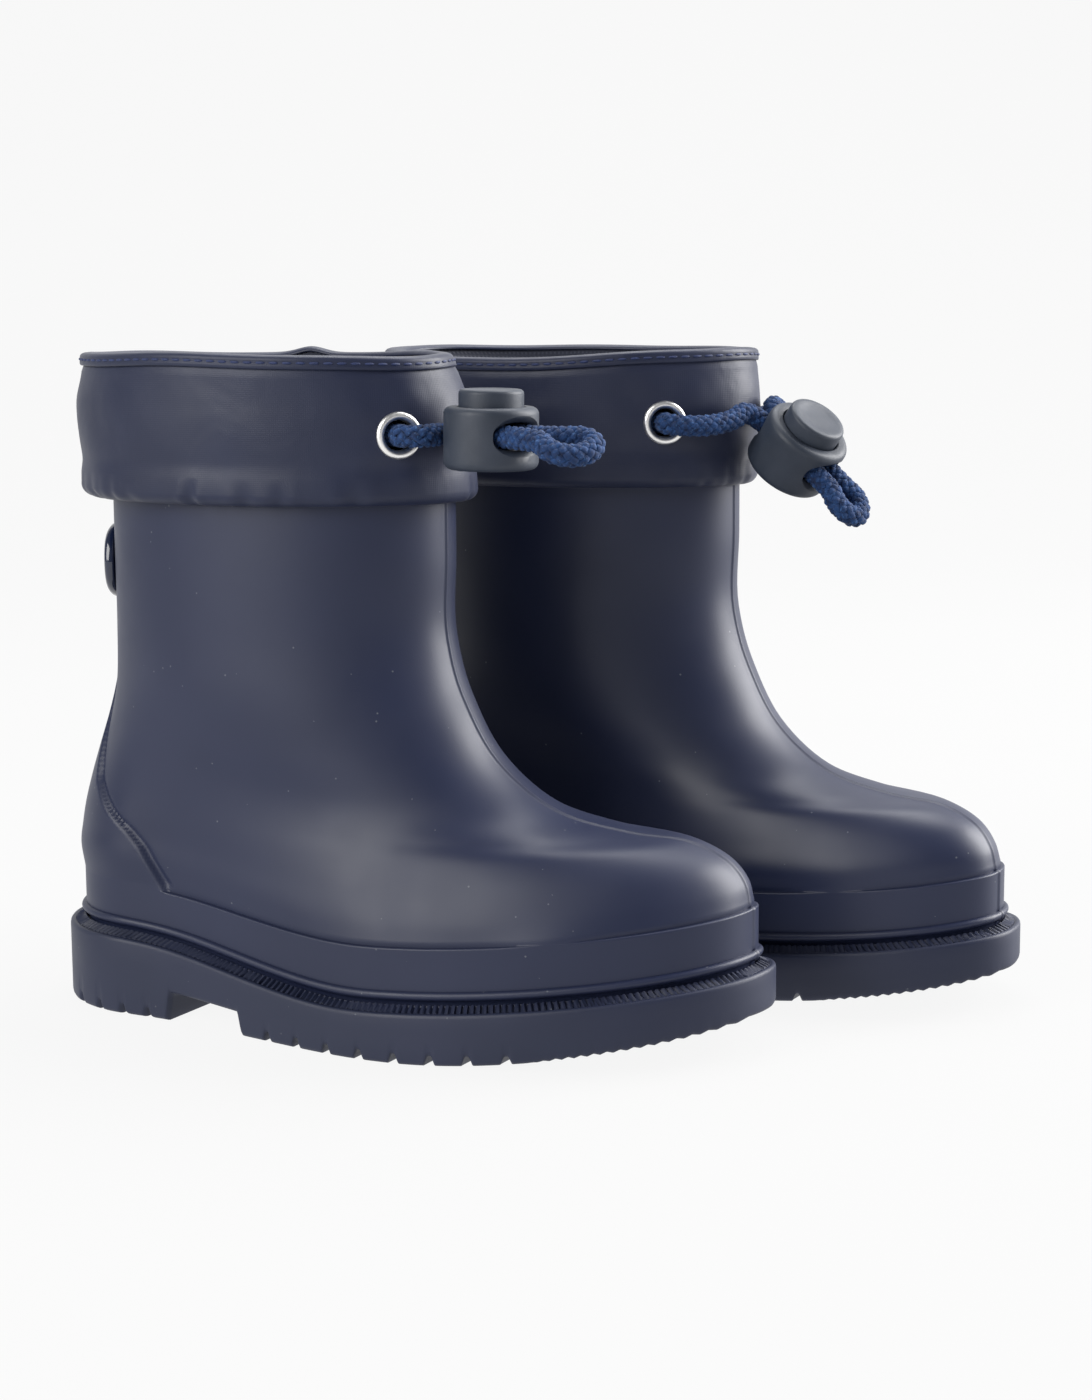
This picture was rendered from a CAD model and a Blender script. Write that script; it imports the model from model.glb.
"""The looks of a pair of children's rain boots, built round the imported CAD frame.

Each boot is described once, in millimetres, in the right boot's own frame: x runs forward from the
back of the outsole, y towards the inner (medial) side, z up. Side.world() turns that into the row
frame in metres and mirrors it for the left boot.
"""
import math

import bmesh
import bpy
import numpy as np
from mathutils import Matrix, Quaternion, Vector


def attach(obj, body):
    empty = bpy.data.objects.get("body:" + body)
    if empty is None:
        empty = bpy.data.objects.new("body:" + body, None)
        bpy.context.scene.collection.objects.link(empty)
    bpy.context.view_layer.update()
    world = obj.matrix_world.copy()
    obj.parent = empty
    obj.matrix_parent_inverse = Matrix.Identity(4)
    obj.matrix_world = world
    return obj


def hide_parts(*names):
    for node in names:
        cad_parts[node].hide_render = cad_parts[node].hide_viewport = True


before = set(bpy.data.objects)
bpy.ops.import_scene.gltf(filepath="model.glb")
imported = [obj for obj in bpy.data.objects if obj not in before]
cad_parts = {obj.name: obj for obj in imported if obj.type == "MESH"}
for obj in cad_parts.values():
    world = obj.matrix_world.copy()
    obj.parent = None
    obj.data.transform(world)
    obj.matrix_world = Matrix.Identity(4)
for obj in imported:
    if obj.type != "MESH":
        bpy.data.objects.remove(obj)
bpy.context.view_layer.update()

MM = 0.001
GAP = 0.3

# the pair
BOOT_SPACING = 72.8
LEFT_AHEAD = 34.4
SOLE_LENGTH = 166.5

# outsole
HEEL_HALF_WIDTH = 26.8
LATERAL_HALF_WIDTH = 37.0
MEDIAL_HALF_WIDTH = 26.5
TOE_SWING = 8.5
WAIST_DIP = 0.024
HEEL_TOP = 17.4
BALL_TOP = 10.4
TOE_TOP = 18.2
TOE_BOTTOM = 9.1
TOE_SPRING_START = 99.2
HEEL_BREAST = 38.5
ARCH_END = 61.0
ARCH_BACK_HEIGHT = 6.4
ARCH_FRONT_HEIGHT = 4.9
GROOVE_DEPTH = 2.0
HEEL_GROOVES = (13.0, 20.0, 26.8, 33.5)
TREAD_START = 68.0
TREAD_PITCH = 8.1
TREAD_COUNT = 8
SOLE_STEP = 0.28
NOTCH_PITCH = 1.35
NOTCH_DEPTH = 0.6

# upper shell
WALL = 2.0
UPPER_INSET = 4.6
BAND_PROUD = 0.9
BAND_HEIGHT_HEEL = 11.2
BAND_HEIGHT_TOE = 12.9
BEAD_LIFT = 3.0
BEAD_RADIUS = 0.95
SHAFT_CENTRE = 54.3
SHAFT_HALF_LENGTH = 41.2
SHAFT_HALF_WIDTH = 25.3
LINING_THICKNESS = 0.8
FOOTBED_INSET = 9.3
COUNTER_GROOVE = 0.55
PARTING_RAISE = 0.4
BAND_FADE_CENTRE = 131.0
BAND_FADE_REACH = 9.0

# collar: offsets are measured outwards from the shaft's outer face
COLLAR_PROUD = 5.1
COLLAR_BOTTOM = 113.1
COLLAR_TOP = 144.0
FABRIC = 0.9
LATERAL_EYELET_ANGLE = 30
MEDIAL_EYELET_ANGLE = 42
EYELET_HEIGHT = 127.8
EYELET_HOLE = 3.1
CORD_RADIUS = 2.4
TUNNEL_OFFSET = 0.6
FACING_OUTSIDE = -2.65
FACET = 12.0
STITCH_PITCH = 2.85
STITCH_DROP = 1.5

# cord lock, in its own frame: forward along the cord, side across it, up out through the button
LOCK_RADIUS = 9.75
LOCK_HALF_HEIGHT = 6.4
LOCK_BORE = 6.95
LOCK_FLOOR = -5.8
WINDOW_HALF_WIDTH = 5.5
WINDOW_HALF_HEIGHT = 2.9
CORD_LIFT = 0.6
STRAND_SIDE = 2.6
BUTTON_RADIUS = 6.7
BUTTON_PROUD = 3.5
BUTTON_TRAVEL = 1.8
BAR_THICKNESS = 0.8
LOCK_SEGMENTS = 96

# badge
BADGE_HEIGHT = 97.8
BADGE_HALF_WIDTH = 9.5
BADGE_HALF_HEIGHT = 8.7
BADGE_THICKNESS = 1.9
INLAY_HALF_WIDTH = 5.5
INLAY_HALF_HEIGHT = 2.4
INLAY_THICKNESS = 0.4

# rings of the upper: back x, back z, front x, front z, heel half-width, lateral and medial ball
# half-widths, foot share
UPPER_RINGS = (
    (3.8, 34.5, 160.8, 36.4, 22.6, 31.4, 22.4, 1.00),
    (4.2, 39.5, 157.0, 41.4, 22.6, 29.4, 21.3, 0.92),
    (4.9, 44.0, 149.5, 45.2, 22.8, 27.2, 20.2, 0.82),
    (6.2, 49.5, 137.2, 46.4, 23.0, 24.6, 19.2, 0.66),
    (8.4, 57.0, 120.4, 49.4, 23.4, 21.6, 18.8, 0.42),
    (10.8, 64.5, 107.0, 58.4, 24.0, 21.4, 20.6, 0.18),
    (12.4, 72.0, 99.4, 71.0, 24.7, 22.7, 22.7, 0.00),
    (13.1, 84.0, 95.5, 84.0, 25.3, 25.3, 25.3, 0.00),
    (13.1, 102.0, 95.5, 102.0, 25.3, 25.3, 25.3, 0.00),
    (13.1, 121.0, 95.5, 121.0, 25.3, 25.3, 25.3, 0.00),
)

# the heel counter's edge: height, and angle round from the back's centre line
COUNTER_HEIGHTS = (26.0, 28.4, 37.4, 40.6, 44.4, 50.7, 63.0, 80.0, 125.0)
COUNTER_ANGLES = (117.0, 115.0, 101.0, 92.0, 77.0, 56.0, 36.0, 22.0, 17.0)

# free cord from eyelet to lock, lateral strand and medial strand, then the loop in the lock's frame
RIGHT_LATERAL = ((95.8, -17.2, 127.8), (99.2, -15.9, 127.8), (100.4, -9.5, 127.9))
RIGHT_MEDIAL = ((89.6, 22.9, 127.8), (94.0, 22.0, 127.8), (98.2, 17.6, 127.9), (101.2, 11.0, 127.9),
                (102.6, 4.2, 128.0), (102.5, -1.9, 128.0))
RIGHT_LOOP = ((17.5, -2.7, 0.2), (21.5, -3.6, -1.2), (24.6, -1.6, -2.1), (26.0, 2.2, -1.7),
              (24.6, 5.6, -0.2), (21.3, 5.6, 0.9), (17.5, 2.9, 0.8))
LEFT_LATERAL = ((95.8, -17.3, 127.8), (99.7, -15.8, 128.2), (102.4, -9.9, 129.4), (103.6, -3.8, 130.7))
LEFT_MEDIAL = ((89.6, 22.9, 127.6), (94.0, 22.2, 127.3), (98.2, 18.6, 127.4), (100.9, 13.6, 128.3),
               (102.3, 8.8, 129.7))
LEFT_LOOP = ((13.5, -2.7, 0.5), (16.6, -3.7, 0.0), (19.6, -2.5, -0.7), (20.9, 0.0, -1.0),
             (19.6, 2.5, -0.7), (16.6, 3.7, 0.0), (13.5, 2.7, 0.5))

# camera, in metres and degrees: it looks from the lateral front of the right boot
CAMERA_PLACE = (0.2709, -0.5183, 0.1559)
CAMERA_YAW = 27.637
CAMERA_PITCH = 8.730
CAMERA_ROLL = 0.402
CAMERA_LENS = 67.64
TARGET = Vector((0.0, 0.0, 0.07))


class Side:
    """One boot of the pair: its name, and its place and mirroring in the row frame."""

    def __init__(self, name, mirror, ahead):
        self.name = name
        self.mirror = mirror
        self.ahead = ahead
        self.back = (SOLE_LENGTH + LEFT_AHEAD) / 2.0

    def world(self, points):
        points = np.asarray(points, float)
        result = points.copy()
        result[..., 0] = points[..., 0] + self.ahead - self.back
        result[..., 1] = self.mirror * (points[..., 1] - BOOT_SPACING / 2.0)
        return result * MM

    def turn(self, direction):
        x, y, z = direction
        return Vector((x, self.mirror * y, z)).normalized()


RIGHT = Side("right", 1, 0.0)
LEFT = Side("left", -1, LEFT_AHEAD)


# ---------------------------------------------------------------- shape helpers

def mix(a, b, t):
    return a + (b - a) * t


def smoothstep(low, high, value):
    t = np.clip((value - low) / (high - low), 0.0, 1.0)
    return t * t * (3.0 - 2.0 * t)


def round_stations(count):
    """Places 0..1 from heel to toe, close together at both round ends."""
    return (1.0 - np.cos(np.pi * np.arange(count + 1) / count)) / 2.0


def foot_half_width(u, length, heel, ball, toe_share=0.40, toe_power=2.2):
    width = mix(heel, ball, smoothstep(0.195, 0.58, u))
    width = width * (1.0 - WAIST_DIP * np.exp(-((u - 0.42) / 0.13) ** 2))
    back = np.clip(1.0 - u * length / heel, 0.0, 1.0)
    reach = np.clip(1.0 - (1.0 - u) / toe_share, 0.0, 1.0)
    toe = np.maximum(1.0 - reach ** toe_power, 0.0) ** (1.0 / toe_power)
    return width * np.sqrt(1.0 - back ** 2) * toe


def toe_swing(x):
    return TOE_SWING * smoothstep(50.0, 170.0, x)


def sole_top(x):
    u = x / SOLE_LENGTH
    ball = 0.53
    height = mix(HEEL_TOP, BALL_TOP, smoothstep(0.12, ball, u))
    spring = np.clip((u - ball) / (1.0 - ball), 0.0, 1.0)
    return height + (TOE_TOP - BALL_TOP) * spring ** 1.6


def sole_bottom(x):
    heel_round = 3.0 * np.clip(1.0 - x / 7.0, 0.0, 1.0) ** 2
    arch = mix(ARCH_BACK_HEIGHT, ARCH_FRONT_HEIGHT, (x - HEEL_BREAST) / (ARCH_END - HEEL_BREAST))
    arch = arch * smoothstep(HEEL_BREAST, HEEL_BREAST + 1.6, x)
    arch = arch * (1.0 - smoothstep(ARCH_END - 1.6, ARCH_END, x))
    toe_run = SOLE_LENGTH - TOE_SPRING_START
    toe = TOE_BOTTOM * np.clip((x - TOE_SPRING_START) / toe_run, 0.0, 1.0) ** 1.7
    return heel_round + np.maximum(arch, 0.0) + toe


def outline_point(u, side, inset, lift):
    """Points of the sole's outline, inset from the outsole's edge and lifted off its top edge."""
    ball = (LATERAL_HALF_WIDTH if side < 0 else MEDIAL_HALF_WIDTH) - inset
    length = SOLE_LENGTH - 2.0 * inset
    x = inset + u * length
    y = side * foot_half_width(u, length, HEEL_HALF_WIDTH - inset, ball) + toe_swing(x)
    return np.stack([x, y, sole_top(x) + lift], -1)


def band_point(u, side, inset, lift, share):
    """Points of the foxing band: share 0 is at the band's bottom and 1 at its top edge."""
    points = outline_point(u, side, inset, lift)
    height = mix(BAND_HEIGHT_HEEL, BAND_HEIGHT_TOE, smoothstep(25.0, 90.0, points[:, 0]))
    points[:, 2] += share * height
    return points


def ring_point(u, side, ring):
    back_x, back_z, front_x, front_z, heel, lateral, medial, foot = ring
    length = front_x - back_x
    x = back_x + u * length
    ellipse = SHAFT_HALF_WIDTH * 2.0 * np.sqrt(np.maximum(u * (1.0 - u), 0.0))
    toe_share = mix(0.5, 0.38, foot)
    shaped = foot_half_width(u, length, heel, lateral if side < 0 else medial, toe_share, 2.1)
    y = side * mix(ellipse, shaped, foot) + foot * toe_swing(x)
    chord = mix(HEEL_TOP, TOE_TOP, x / SOLE_LENGTH)
    z = mix(back_z, front_z, u) + foot ** 2 * (sole_top(x) - chord)
    return np.stack([x, y, z], -1)


def closed_loop(stations, point):
    """Points round an outline: out along the lateral side (-1), back along the medial side (+1)."""
    out = point(stations, -1)
    back = point(stations[1:-1][::-1], 1)
    return np.vstack([out, back])


def smooth_rows(rows, steps):
    """Rows on a smooth curve through the given rows, point by point."""
    rows = np.array(rows)
    gaps = np.linalg.norm(np.diff(rows, axis=0), axis=2).mean(1)
    slopes = np.diff(rows, axis=0) / gaps[:, None, None]
    tangents = [slopes[0]]
    for i in range(1, len(rows) - 1):
        before, after = gaps[i - 1], gaps[i]
        tangents.append((slopes[i - 1] * after + slopes[i] * before) / (before + after))
    tangents.append(slopes[-1])
    result = []
    for i in range(len(rows) - 1):
        for k in range(steps):
            t = k / steps
            a = 2 * t ** 3 - 3 * t ** 2 + 1
            b = t ** 3 - 2 * t ** 2 + t
            c = 3 * t ** 2 - 2 * t ** 3
            d = t ** 3 - t ** 2
            result.append(rows[i] * a + tangents[i] * gaps[i] * b + rows[i + 1] * c
                          + tangents[i + 1] * gaps[i] * d)
    return np.array(result + [rows[-1]])


def grid_normals(grid):
    """Outward unit normals of a grid of closed loops, lowest loop first."""
    along = np.roll(grid, -1, axis=1) - np.roll(grid, 1, axis=1)
    up = np.gradient(grid, axis=0)
    normal = np.cross(along, up)
    return normal / np.maximum(np.linalg.norm(normal, axis=2, keepdims=True), 1e-9)


def shaft_point(angle, offset, z):
    """Points offset outwards from the shaft. Angle 0 is the front, and 90 the medial side."""
    a = np.radians(angle)
    x = SHAFT_CENTRE - 0.24 * offset + (SHAFT_HALF_LENGTH + 1.04 * offset) * np.cos(a)
    y = (SHAFT_HALF_WIDTH + 0.98 * offset) * np.sin(a)
    return np.stack(np.broadcast_arrays(x, y, z), -1).astype(float)


def eyelet_angle(hand):
    return LATERAL_EYELET_ANGLE if hand < 0 else MEDIAL_EYELET_ANGLE


def eyelet_frame(hand):
    """Centre on the collar's outer face, tangent towards the front, and outward normal."""
    step = FACET / 2.0
    before = Vector(shaft_point(hand * (eyelet_angle(hand) + step), COLLAR_PROUD, EYELET_HEIGHT))
    after = Vector(shaft_point(hand * (eyelet_angle(hand) - step), COLLAR_PROUD, EYELET_HEIGHT))
    tangent = (after - before).normalized()
    normal = Vector((-hand * tangent.y, hand * tangent.x, 0.0))
    return (before + after) / 2.0, tangent, normal


def smooth_route(points, steps):
    """Points on a Catmull-Rom curve through the route's own points."""
    route = [Vector(p) for p in points]
    ends = [route[0] * 2.0 - route[1]] + route + [route[-1] * 2.0 - route[-2]]
    result = []
    for i in range(len(route) - 1):
        a, b, c, d = ends[i:i + 4]
        for k in range(steps):
            t = k / steps
            cubic = (2.0 * b + (c - a) * t + (2.0 * a - 5.0 * b + 4.0 * c - d) * t ** 2
                     + (3.0 * b - a - 3.0 * c + d) * t ** 3)
            result.append(cubic / 2.0)
    return result + [route[-1]]


def frame_matrix(place, forward, up):
    side = up.cross(forward).normalized()
    up = forward.cross(side).normalized()
    turn = Matrix((forward, side, up)).transposed().to_4x4()
    return Matrix.Translation(place) @ turn


# ---------------------------------------------------------------- mesh helpers

def grid_faces(rows, count, wrap_rows=False):
    i = np.arange(rows if wrap_rows else rows - 1)[:, None]
    j = np.arange(count)[None, :]
    right = (j + 1) % count
    up = (i + 1) % rows
    corners = [i * count + j, i * count + right, up * count + right, up * count + j]
    return np.stack(corners, -1).reshape(-1, 4)


def ladder_faces(base, last, upward):
    """Faces across a closed_loop of 2 x last points that starts at index base."""
    count = 2 * last
    faces = []
    for i in range(last):
        a, b = base + i, base + i + 1
        c, d = base + (count - i - 1) % count, base + (count - i) % count
        if i == 0:
            face = (a, b, c)
        elif i == last - 1:
            face = (a, b, d)
        else:
            face = (a, b, c, d)
        faces.append(face if upward else tuple(reversed(face)))
    return faces


def add_mesh(name, verts, faces, material, uv=None, sharp=None, weld=0.0):
    """A mesh object in the row frame, its faces pointing out. uv has a value for each face corner."""
    mesh = bpy.data.meshes.new(name)
    faces = [tuple(int(i) for i in face) for face in faces]
    mesh.from_pydata(np.asarray(verts, float).tolist(), [], faces)
    if uv is not None:
        layer = mesh.uv_layers.new(name="UVMap")
        layer.data.foreach_set("uv", np.asarray(uv, np.float32).ravel())
    shape = bmesh.new()
    shape.from_mesh(mesh)
    if weld > 0.0:
        bmesh.ops.remove_doubles(shape, verts=shape.verts, dist=weld)
    bmesh.ops.recalc_face_normals(shape, faces=shape.faces)
    shape.to_mesh(mesh)
    shape.free()
    mesh.shade_smooth()
    if sharp is not None:
        mesh.set_sharp_from_angle(angle=math.radians(sharp))
    mesh.materials.append(material)
    item = bpy.data.objects.new(name, mesh)
    bpy.context.scene.collection.objects.link(item)
    return item


def grid_uv(grid, wrap_rows=False):
    """Texture places of a grid's face corners in metres: along the loops, and from loop to loop."""
    rows, count = grid.shape[:2]
    middle = grid[rows // 2]
    around = np.concatenate([[0.0], np.cumsum(np.linalg.norm(np.roll(middle, -1, 0) - middle, axis=1))])
    steps = np.linalg.norm(np.diff(grid, axis=0), axis=2).mean(1)
    up = np.concatenate([[0.0], np.cumsum(steps)])
    if wrap_rows:
        up = np.append(up, up[-1] + np.linalg.norm(grid[0] - grid[-1], axis=1).mean())
    total = rows if wrap_rows else rows - 1
    i, j = np.meshgrid(np.arange(total), np.arange(count), indexing="ij")
    u = np.stack([around[j], around[j + 1], around[j + 1], around[j]], -1)
    v = np.stack([up[i], up[i], up[i + 1], up[i + 1]], -1)
    return np.stack([u, v], -1).reshape(-1, 4, 2)


def add_grid(name, grid, material, wrap_rows=True, sharp=None, keep=None):
    """A mesh through a grid of closed loops in the row frame. keep picks the faces that stay."""
    rows, count = grid.shape[:2]
    faces = grid_faces(rows, count, wrap_rows)
    uv = grid_uv(grid, wrap_rows)
    if keep is not None:
        centres = grid.reshape(-1, 3)[faces].mean(1)
        chosen = keep(centres)
        faces, uv = faces[chosen], uv[chosen]
    return add_mesh(name, grid.reshape(-1, 3), faces, material, uv=uv, sharp=sharp)


def lathe(profile, segments):
    """A grid turned round z from a profile of (radius, height)."""
    a = 2.0 * np.pi * np.arange(segments) / segments
    profile = np.asarray(profile, float)
    radius, height = profile[:, 0][:, None], profile[:, 1][:, None]
    return np.stack(np.broadcast_arrays(radius * np.cos(a), radius * np.sin(a), height), -1)


def placed(points, matrix):
    """Points in millimetres in a matrix's own frame, as metres in the row frame."""
    points = np.asarray(points, float) * MM
    turn = np.array(matrix.to_3x3())
    return points @ turn.T + np.array(matrix.translation)


def arc(centre, radius, start, end, count):
    """Points of an arc in a profile, as (across, up) pairs."""
    angles = np.radians(np.linspace(start, end, count))
    return [(centre[0] + radius * math.cos(a), centre[1] + radius * math.sin(a)) for a in angles]


def cut(item, cutter):
    """Applies the difference of an object and a cutter, and removes the cutter."""
    modifier = item.modifiers.new("Cut", "BOOLEAN")
    modifier.operation = "DIFFERENCE"
    modifier.object = cutter
    bpy.context.view_layer.update()
    graph = bpy.context.evaluated_depsgraph_get()
    mesh = bpy.data.meshes.new_from_object(item.evaluated_get(graph))
    item.modifiers.clear()
    item.data = mesh
    bpy.data.objects.remove(cutter, do_unlink=True)
    mesh.shade_smooth()
    mesh.set_sharp_from_angle(angle=math.radians(32.0))


def dress(item, side, nodes, body="boot"):
    """Says which body a piece rides on, and the CAD nodes it stands in for."""
    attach(item, side.name + "_" + body)
    if nodes:
        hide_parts(*[side.name + "_" + node for node in nodes])
    return item


# ---------------------------------------------------------------- materials

class Look:
    """A procedural material, built node by node."""

    def __init__(self, name, colour, roughness, metallic=0.0):
        self.material = bpy.data.materials.new(name)
        self.material.use_nodes = True
        self.tree = self.material.node_tree
        self.shader = self.tree.nodes["Principled BSDF"]
        self.shader.inputs["Base Color"].default_value = (*colour, 1.0)
        self.shader.inputs["Roughness"].default_value = roughness
        self.shader.inputs["Metallic"].default_value = metallic
        self.coords = self.tree.nodes.new("ShaderNodeTexCoord")

    def link(self, source, target):
        self.tree.links.new(source, target)

    def noise(self, scale, detail=2.0, space="Object", distortion=0.0):
        node = self.tree.nodes.new("ShaderNodeTexNoise")
        node.inputs["Scale"].default_value = scale
        node.inputs["Detail"].default_value = detail
        node.inputs["Distortion"].default_value = distortion
        self.link(self.coords.outputs[space], node.inputs["Vector"])
        return node.outputs["Fac"]

    def spots(self, scale, space="Object"):
        node = self.tree.nodes.new("ShaderNodeTexVoronoi")
        node.inputs["Scale"].default_value = scale
        self.link(self.coords.outputs[space], node.inputs["Vector"])
        return node.outputs["Distance"]

    def wave(self, scale, direction, distortion=0.0, space="UV"):
        node = self.tree.nodes.new("ShaderNodeTexWave")
        node.bands_direction = direction
        node.inputs["Scale"].default_value = scale
        node.inputs["Distortion"].default_value = distortion
        self.link(self.coords.outputs[space], node.inputs["Vector"])
        return node.outputs["Fac"]

    def math(self, operation, a, b):
        node = self.tree.nodes.new("ShaderNodeMath")
        node.operation = operation
        for socket, value in zip(node.inputs, (a, b)):
            if isinstance(value, (int, float)):
                socket.default_value = value
            else:
                self.link(value, socket)
        return node.outputs["Value"]

    def span(self, value, low, high, out_low, out_high):
        node = self.tree.nodes.new("ShaderNodeMapRange")
        ends = {"From Min": low, "From Max": high, "To Min": out_low, "To Max": out_high}
        for key, number in ends.items():
            node.inputs[key].default_value = number
        self.link(value, node.inputs["Value"])
        return node.outputs["Result"]

    def blend(self, factor, first, second):
        node = self.tree.nodes.new("ShaderNodeMix")
        node.data_type = "RGBA"
        self.link(factor, node.inputs["Factor"])
        for key, value in (("A", first), ("B", second)):
            socket = [s for s in node.inputs if s.name == key and s.type == "RGBA"][0]
            if isinstance(value, tuple):
                socket.default_value = (*value, 1.0)
            else:
                self.link(value, socket)
        return [s for s in node.outputs if s.type == "RGBA"][0]

    def colour(self, output):
        self.link(output, self.shader.inputs["Base Color"])

    def roughness(self, output):
        self.link(output, self.shader.inputs["Roughness"])

    def bumps(self, *layers):
        """Stacked bumps, each (height output, strength, distance in metres)."""
        previous = None
        for height, strength, distance in layers:
            node = self.tree.nodes.new("ShaderNodeBump")
            node.inputs["Strength"].default_value = strength
            node.inputs["Distance"].default_value = distance
            self.link(height, node.inputs["Height"])
            if previous is not None:
                self.link(previous, node.inputs["Normal"])
            previous = node.outputs["Normal"]
        self.link(previous, self.shader.inputs["Normal"])

    def set(self, key, value):
        self.shader.inputs[key].default_value = value


def moulded_pvc(name, dark, light, roughness, specks):
    look = Look(name, dark, roughness)
    cloudy = look.span(look.noise(28.0, 3.0), 0.35, 0.65, 0.0, 1.0)
    base = look.blend(cloudy, dark, light)
    speck = look.math("MULTIPLY", look.math("LESS_THAN", look.spots(420.0), 0.085),
                      look.math("GREATER_THAN", look.noise(160.0, 1.0), 0.60))
    look.colour(look.blend(look.math("MULTIPLY", speck, specks), base, (0.16, 0.17, 0.19)))
    look.roughness(look.span(look.noise(60.0, 4.0), 0.3, 0.7, roughness - 0.04, roughness + 0.05))
    look.bumps((look.noise(22.0, 1.0), 0.10, 0.0012), (look.noise(2600.0, 2.0), 0.10, 0.00008))
    look.set("Specular IOR Level", 0.40)
    return look.material


def coated_fabric():
    look = Look("collar_fabric", (0.019, 0.023, 0.045), 0.5)
    cloudy = look.span(look.noise(35.0, 3.0), 0.35, 0.65, 0.0, 1.0)
    look.colour(look.blend(cloudy, (0.0085, 0.0125, 0.0350), (0.0120, 0.0170, 0.0440)))
    look.roughness(look.span(look.noise(90.0, 3.0), 0.3, 0.7, 0.43, 0.53))
    weave = look.math("ADD", look.wave(760.0, "X"), look.wave(760.0, "Y"))
    look.bumps((look.noise(70.0, 2.0, distortion=0.6), 0.28, 0.0011), (weave, 0.10, 0.00007))
    look.set("Specular IOR Level", 0.36)
    look.set("Sheen Weight", 0.05)
    look.set("Sheen Roughness", 0.4)
    return look.material


def knit(name, dark, light):
    look = Look(name, dark, 0.95)
    rows = look.math("MULTIPLY", look.wave(300.0, "X", 1.2), look.wave(260.0, "Y", 1.2))
    look.colour(look.blend(rows, dark, light))
    look.bumps((rows, 0.5, 0.0003), (look.noise(1800.0, 2.0), 0.3, 0.0001))
    look.set("Sheen Weight", 0.2)
    return look.material


def braided_cord():
    look = Look("cord_yarn", (0.018, 0.05, 0.15), 0.75)
    fibre = look.wave(1500.0, "X", 3.0)
    tone = look.span(look.noise(700.0, 3.0), 0.32, 0.68, 0.0, 1.0)
    base = look.blend(tone, (0.0035, 0.013, 0.050), (0.014, 0.052, 0.165))
    fleck = look.math("GREATER_THAN", look.noise(1300.0, 2.0), 0.64)
    look.colour(look.blend(look.math("MULTIPLY", fleck, 0.40), base, (0.06, 0.15, 0.34)))
    look.bumps((fibre, 0.55, 0.0001), (look.noise(3000.0, 2.0), 0.4, 0.00008))
    look.set("Specular IOR Level", 0.30)
    look.set("Sheen Weight", 0.05)
    look.set("Sheen Roughness", 0.4)
    return look.material


def thread():
    look = Look("stitch_thread", (0.02, 0.04, 0.13), 0.6)
    tone = look.noise(900.0, 2.0)
    look.colour(look.blend(tone, (0.004, 0.010, 0.050), (0.012, 0.028, 0.110)))
    look.bumps((look.wave(2600.0, "DIAGONAL", 0.0, "Object"), 0.4, 0.00005))
    return look.material


def matte_plastic():
    look = Look("lock_plastic", (0.052, 0.060, 0.082), 0.5)
    cloudy = look.span(look.noise(120.0, 3.0), 0.35, 0.65, 0.0, 1.0)
    look.colour(look.blend(cloudy, (0.019, 0.026, 0.041), (0.027, 0.035, 0.053)))
    look.roughness(look.span(look.noise(300.0, 3.0), 0.3, 0.7, 0.46, 0.58))
    look.bumps((look.noise(3200.0, 2.0), 0.35, 0.00006))
    look.set("Specular IOR Level", 0.42)
    return look.material


def nickel():
    look = Look("nickel_plate", (0.72, 0.71, 0.69), 0.22, 1.0)
    look.colour(look.blend(look.noise(400.0, 3.0), (0.84, 0.83, 0.81), (0.94, 0.93, 0.91)))
    look.roughness(look.span(look.noise(900.0, 3.0), 0.3, 0.7, 0.30, 0.42))
    look.bumps((look.noise(1500.0, 2.0), 0.08, 0.00005))
    return look.material


def spring_steel():
    look = Look("spring_wire", (0.55, 0.55, 0.57), 0.3, 1.0)
    look.roughness(look.span(look.noise(2000.0, 2.0), 0.3, 0.7, 0.22, 0.4))
    return look.material


def glossy_badge():
    look = Look("badge_gloss", (0.006, 0.010, 0.030), 0.12)
    look.colour(look.blend(look.noise(200.0, 2.0), (0.005, 0.009, 0.026), (0.010, 0.015, 0.042)))
    look.roughness(look.span(look.noise(700.0, 3.0), 0.3, 0.7, 0.08, 0.18))
    look.bumps((look.noise(120.0, 1.0), 0.06, 0.0003))
    look.set("Coat Weight", 0.6)
    look.set("Coat Roughness", 0.06)
    return look.material


def cream_inlay():
    look = Look("inlay_cream", (0.62, 0.57, 0.48), 0.35)
    look.colour(look.blend(look.noise(500.0, 2.0), (0.58, 0.53, 0.44), (0.68, 0.63, 0.54)))
    look.bumps((look.noise(900.0, 2.0), 0.1, 0.00006))
    return look.material


def footbed_felt():
    look = Look("footbed_felt", (0.02, 0.022, 0.03), 0.95)
    look.colour(look.blend(look.noise(1200.0, 3.0), (0.014, 0.016, 0.024), (0.035, 0.038, 0.05)))
    look.bumps((look.noise(2200.0, 3.0), 0.5, 0.0002))
    return look.material


def floor_paper():
    look = Look("floor_paper", (0.03, 0.03, 0.03), 0.9)
    look.colour(look.blend(look.noise(6.0, 2.0), (0.028, 0.028, 0.028), (0.032, 0.032, 0.032)))
    look.set("Specular IOR Level", 0.0)
    look.set("Emission Color", (1.0, 1.0, 1.0, 1.0))
    look.set("Emission Strength", FLOOR_GLOW)
    return look.material


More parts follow.
